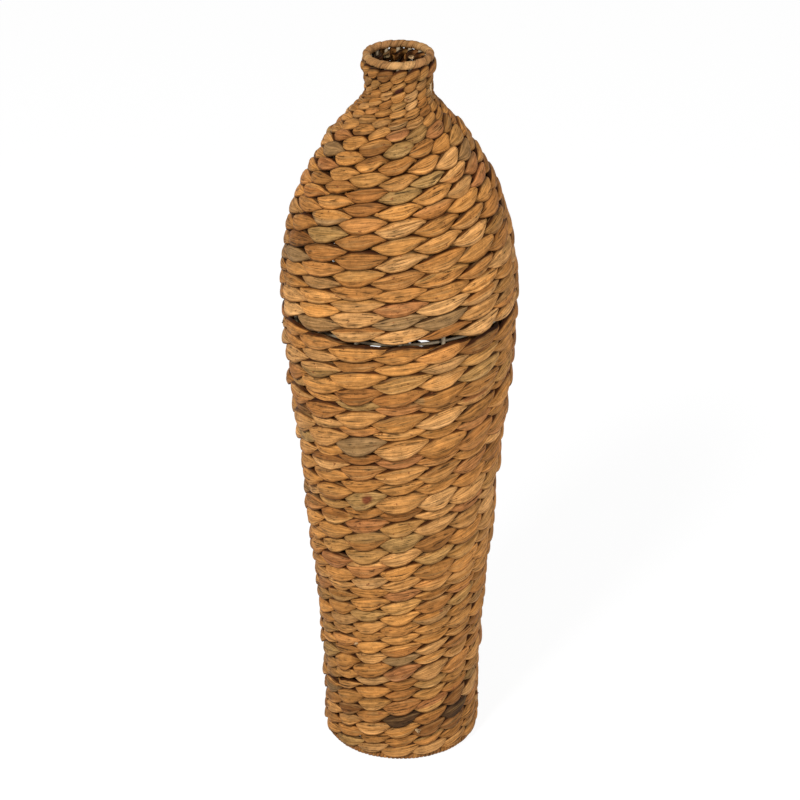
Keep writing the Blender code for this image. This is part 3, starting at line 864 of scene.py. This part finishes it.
for number, (row_name, stake, out, aim, length, thick, colour) in enumerate(LOOSE_ENDS):
    row = seats[row_name]
    angle = FRONT + stake * STAKE_ANGLE
    outward = Vector((math.cos(angle), math.sin(angle), 0.0))
    sideways = Vector((-math.sin(angle), math.cos(angle), 0.0))
    place = outward * (row["middle"][0] + out) + Vector((0.0, 0.0, row["middle"][1]))
    aim = outward * aim[0] + Vector((0.0, 0.0, aim[1])) + sideways * aim[2]
    loose_end(f"loose_end_{number + 1}", place, aim, length, thick, colour, number)
print("set", len(LOOSE_ENDS), "loose ends")

# %% [markdown]
# The frame is drawn iron wire, spot welded and then lacquered taupe. Its CAD wires are square in
# section, which is enough for their strength and weight. Here each wire is round: the stakes follow
# the line behind the rows, and the hoops and the crossing wires sit where the CAD has them. A bevel
# on a curve would draw them too, but a cylinder cut in slices and bent stays a plain closed mesh.

# %% Lacquered wire
LACQUER_DARK = "#75654f"
LACQUER_LIGHT = "#9a886c"
GRAIN = 260.0  # a mottle about 4 mm across, coarser than the real grain, so that it shows


def paint_material():
    """Make stoved taupe lacquer on iron wire: satin, with a faint grain."""
    material, tree, output = new_material("taupe_lacquered_iron_wire")
    place = add_node(tree, "ShaderNodeTexCoord")
    grain = add_node(tree, "ShaderNodeTexNoise", None,
                     {"Vector": place.outputs["Object"], "Scale": GRAIN, "Detail": 3.0})
    colour = add_node(tree, "ShaderNodeMix", {"data_type": "RGBA"},
                      {0: grain.outputs[0], 6: (*linear(LACQUER_DARK), 1), 7: (*linear(LACQUER_LIGHT), 1)})
    shader = add_node(tree, "ShaderNodeBsdfPrincipled", None,
                      {"Base Color": colour.outputs[2], "Roughness": 0.5})
    tree.links.new(shader.outputs[0], output.inputs["Surface"])
    return material


PAINT = paint_material()
print("lacquer from", LACQUER_DARK, "to", LACQUER_LIGHT)

# %% Bend round wires
HOOP_RADIUS = 0.00175
WIRE_CORNERS = 12


def wire(name, path, radius, turn, *replaced):
    """Bend a round wire along a path of radii and heights, in the plane at an angle of turn."""
    count = len(path)
    shape = bmesh.new()
    bmesh.ops.create_cone(shape, cap_ends=True, segments=WIRE_CORNERS, radius1=1.0, radius2=1.0,
                          depth=float(count - 1))
    upright = [edge for edge in shape.edges if abs(edge.verts[0].co.z - edge.verts[1].co.z) > 0.5]
    bmesh.ops.subdivide_edges(shape, edges=upright, cuts=count - 2, use_grid_fill=True)
    steps = np.gradient(path, axis=0)
    steps /= np.linalg.norm(steps, axis=1)[:, None]
    outward = Vector((math.cos(turn), math.sin(turn), 0.0))
    sideways = Vector((-math.sin(turn), math.cos(turn), 0.0))
    for vertex in shape.verts:
        spot = int(round(vertex.co.z + (count - 1) / 2))
        normal = outward * float(steps[spot][1]) - Vector((0, 0, float(steps[spot][0])))
        centre = outward * float(path[spot][0]) + Vector((0, 0, float(path[spot][1])))
        vertex.co = centre + (normal * vertex.co.x + sideways * vertex.co.y) * radius
    bmesh.ops.recalc_face_normals(shape, faces=shape.faces)
    mesh = bpy.data.meshes.new(name)
    shape.to_mesh(mesh)
    shape.free()
    item = new_piece(name, mesh, PAINT)
    mesh.set_sharp_from_angle(angle=math.radians(50))
    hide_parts(*replaced)


print("a wire has", WIRE_CORNERS, "corners round its section")

# %% Bend round hoops
HOOP_STEPS = 96
hoop_blank = ring_blank(HOOP_STEPS, WIRE_CORNERS)


def hoop(name, radius, height, *replaced):
    """Bend a round wire into a hoop."""
    circle = radius + HOOP_RADIUS * np.cos(hoop_blank["across"])
    points = np.stack([circle * np.cos(hoop_blank["around"]), circle * np.sin(hoop_blank["around"]),
                       height + HOOP_RADIUS * np.sin(hoop_blank["across"])], axis=1)
    bent_copy(hoop_blank, name, points, None, None, PAINT, "painted_wire", *replaced)


print("a hoop has", len(hoop_blank["mesh"].polygons), "faces")

# %% Find the stakes' line
FOOT_LIFT = 0.00395  # from the bottom of the winding to the middle of the foot's hoop
SHORTEST_STEP = 0.0008  # points of the line that are closer than this are left out


def ring_place(name):
    """Measure a round CAD piece: the middle of its radii and of its heights."""
    points = node_points(name)
    radii = np.hypot(points[:, 0], points[:, 1])
    return (radii.min() + radii.max()) / 2, (points[:, 2].min() + points[:, 2].max()) / 2


rim_radius, rim_height = ring_place("rim_hoop")
foot_radius, _ = ring_place("foot_binding")
foot_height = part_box("foot_binding")[0][2] + FOOT_LIFT
stake_path = [[foot_radius, foot_height]]
for name in LOWER_ROWS[::-1] + UPPER_ROWS[::-1]:
    stake_path += [seats[name]["low"], seats[name]["high"]]
stake_path.append([rim_radius, rim_height - HOOP_RADIUS])
stake_path = np.array(stake_path)
stake_path = stake_path[np.concatenate([[True], np.diff(stake_path[:, 1]) > SHORTEST_STEP])]
print("a stake has", len(stake_path), "points")

# %% Set up the frame's wires
WELD = 0.8  # how far apart two welded wires' middles are, as a share of their radii together

for index in range(STAKES):
    wire(f"stake_{index + 1:02d}", stake_path, STAKE_RADIUS, FRONT + index * STAKE_ANGLE, "wire_frame")

waist_height = seats[LOWER_ROWS[0]]["high"][1] + HOOP_RADIUS + CLEARANCE
waist_radius = float(np.interp(waist_height, stake_path[:, 1], stake_path[:, 0]))
waist_radius -= WELD * (STAKE_RADIUS + HOOP_RADIUS)
hoop("waist_hoop", waist_radius, waist_height, "wire_frame")
hoop("foot_hoop", foot_radius, foot_height, "wire_frame")
hoop("rim_hoop_round", rim_radius, rim_height, "rim_hoop")
cross_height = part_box("base_mat")[0][2] - CLEARANCE - HOOP_RADIUS
cross_reach = float(np.interp(cross_height, stake_path[:, 1], stake_path[:, 0]))
cross_path = np.array([[-cross_reach, cross_height], [0.0, cross_height], [cross_reach, cross_height]])
for index in range(2):
    wire(f"cross_wire_{index + 1}", cross_path, HOOP_RADIUS, index * math.pi / 2, "wire_frame")
print("waist hoop", round(2000 * waist_radius), "mm across")

# %% [markdown]
# The rim is one flat stem wound round its hoop, one turn between each two stakes, each turn
# puffed up and overlapping the last. The foot has the same winding, but with a narrow strip and
# many more turns. Separate loops would be simpler, but one closed run slides each turn under the
# next. So a blank ring is laid out flat on the tube round the hoop and rolled up with it.

# %% Wind the rim and the foot
RIM_STRIP = {"seed": 71, "turns": STAKES, "columns": 28, "corners": 20, "thick": 0.0021,
             "colours": ["light", "tan", "pink", "brown"]}
FOOT_STRIP = {"seed": 72, "turns": 112, "columns": 12, "corners": 8, "thick": 0.0018,
              "colours": ["tan", "brown", "deep", "pink"]}
OVERLAP = 1.10  # how wide a strip is, as a share of what one turn covers
LEAD = 0.75  # the first turn lies this far ahead of the front stake, in distances between stakes
STRAY = 0.3  # how strongly a turn strays to one side
LIFTED = 0.22  # how much higher one edge of a strip lies, as a share of its thickness
FLATTER = 0.8  # this power squares the section's oval a little


def place_winding(kind, strip, draws, ring_radius, ring_height):
    """Roll a strip up round its hoop; return its points and its length and half width on the tube."""
    turns = kind["turns"]
    thick = kind["thick"]
    centre = HOOP_RADIUS + CLEARANCE + thick / 2
    girth = 2 * math.pi * centre
    pitch = 2 * math.pi * ring_radius / turns
    length = math.hypot(girth, pitch)
    half = pitch * girth / length / 2 * OVERLAP
    along = turns * strip["around"] / (2 * math.pi)  # in turns
    puff = blend_round(1 + 0.16 * draws.standard_normal(turns), along)
    wander = blend_round(0.10 * draws.standard_normal(turns), along)
    side = np.cos(strip["across"])
    edge = np.sin(strip["across"])
    flat_edge = np.sign(edge) * np.abs(edge) ** FLATTER
    turn = 2 * math.pi * along
    shift = half * flat_edge
    around = turn / turns - shift * girth / length / ring_radius + FRONT + STAKE_ANGLE * LEAD
    around = around + wander * STAKE_ANGLE * STRAY * STAKES / turns
    tube_turn = turn + shift * pitch / length / centre
    rib = 0.10 * np.cos(9 * edge + 3 * wander) * np.clip(side, 0, 1)  # three ribs on the outside
    over = centre + thick / 2 * puff * (np.sign(side) * np.abs(side) ** FLATTER + rib)
    over = over + LIFTED * thick * flat_edge
    circle = ring_radius + over * np.cos(tube_turn)
    lift = ring_height + over * np.sin(tube_turn)
    return np.stack([circle * np.cos(around), circle * np.sin(around), lift], axis=1), length, half


def paint_winding(kind, strip, draws):
    """Colour each turn of a winding a little differently, with painted shade along its edges, where one
    turn meets the next.
    """
    turns = kind["turns"]
    names = kind["colours"]
    plants = np.array([linear(STEM_COLOURS[names[draws.integers(len(names))]]) for _ in range(turns)])
    plants = 0.30 * plants + 0.30 * np.array(linear(STEM_COLOURS[names[0]]))
    plants *= 1 + 0.06 * draws.standard_normal((turns, 1))
    along = turns * strip["around"] / (2 * math.pi)
    low = np.floor(along).astype(int) % turns
    share = smooth_step(along - np.floor(along), 0.35, 0.65)[:, None]
    painted = plants[low] * (1 - share) + plants[(low + 1) % turns] * share
    edge = np.abs(np.sin(strip["across"]))
    # painted shade along each turn's edges, where it meets the next turn
    return painted * (1 - 0.38 * smooth_step(edge, 0.75, 1.0))[:, None]


def winding(name, kind, ring_radius, ring_height, *replaced):
    """Wind a flat strip round a hoop in a closed run of turns."""
    strip = ring_blank(kind["turns"] * kind["columns"], kind["corners"])
    draws = np.random.default_rng(kind["seed"])
    points, length, half = place_winding(kind, strip, draws, ring_radius, ring_height)
    painted = paint_winding(kind, strip, draws)
    along_uv = kind["turns"] * strip["loop_around"] / (2 * math.pi) * length + draws.uniform(0, PATCH)
    across_uv = strip["loop_across"] / math.pi * 2 * half + draws.uniform(0, PATCH)
    uv = np.stack([along_uv, across_uv], axis=1)
    bent_copy(strip, name, points, uv, painted, STRIP, "stem_tan", *replaced)


winding("rim_strip", RIM_STRIP, rim_radius, rim_height, "rim_wrap")
winding("foot_strip", FOOT_STRIP, foot_radius, foot_height, "foot_binding")
print(RIM_STRIP["turns"], "turns round the rim and", FOOT_STRIP["turns"], "round the foot")

# %% [markdown]
# The bottom is a mat, coiled from one long stem and laid on the crossing wires. A disc with
# painted rings would do from afar, but from below the light picks out each coil. The blank is a
# closed ring, so it runs in to the middle and out again beside itself.

# %% Coil the base mat
COIL_TURNS = 9
COIL_STEPS = 48  # in one turn
COIL_CORNERS = 10
COIL_EYE = 0.004  # the small hole in the middle, and as much is kept free at the edge, in metres
COIL_PRESS = 1.05  # the coils are pressed together, so that they overlap a little
mat_low, mat_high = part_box("base_mat")
mat_radius = mat_high[0]
coil = ring_blank(COIL_TURNS * COIL_STEPS, COIL_CORNERS)
coil_share = np.abs(1 - coil["around"] / math.pi)
coil_radius = COIL_EYE + (mat_radius - 2 * COIL_EYE) * coil_share
coil_angle = COIL_TURNS * coil["around"]
stem_half = (mat_radius - COIL_EYE) / COIL_TURNS / 2
ring_x = coil_radius + COIL_PRESS * stem_half * np.cos(coil["across"])
mat_middle = (mat_low[2] + mat_high[2]) / 2
ring_z = mat_middle + (mat_high[2] - mat_low[2]) / 2 * np.sin(coil["across"])
coil_points = np.stack([ring_x * np.cos(coil_angle), ring_x * np.sin(coil_angle), ring_z], axis=1)
coil_uv = np.stack([coil["loop_around"] * COIL_TURNS * mat_radius / 2,
                    coil["loop_across"] / math.pi * stem_half * 2], axis=1)
coil_colour = np.tile(linear(STEM_COLOURS["olive"]), (len(coil_points), 1))
bent_copy(coil, "coiled_mat", coil_points, coil_uv, coil_colour, STEM, "stem_olive", "base_mat")
print("the mat is", round(2000 * mat_radius), "mm across")
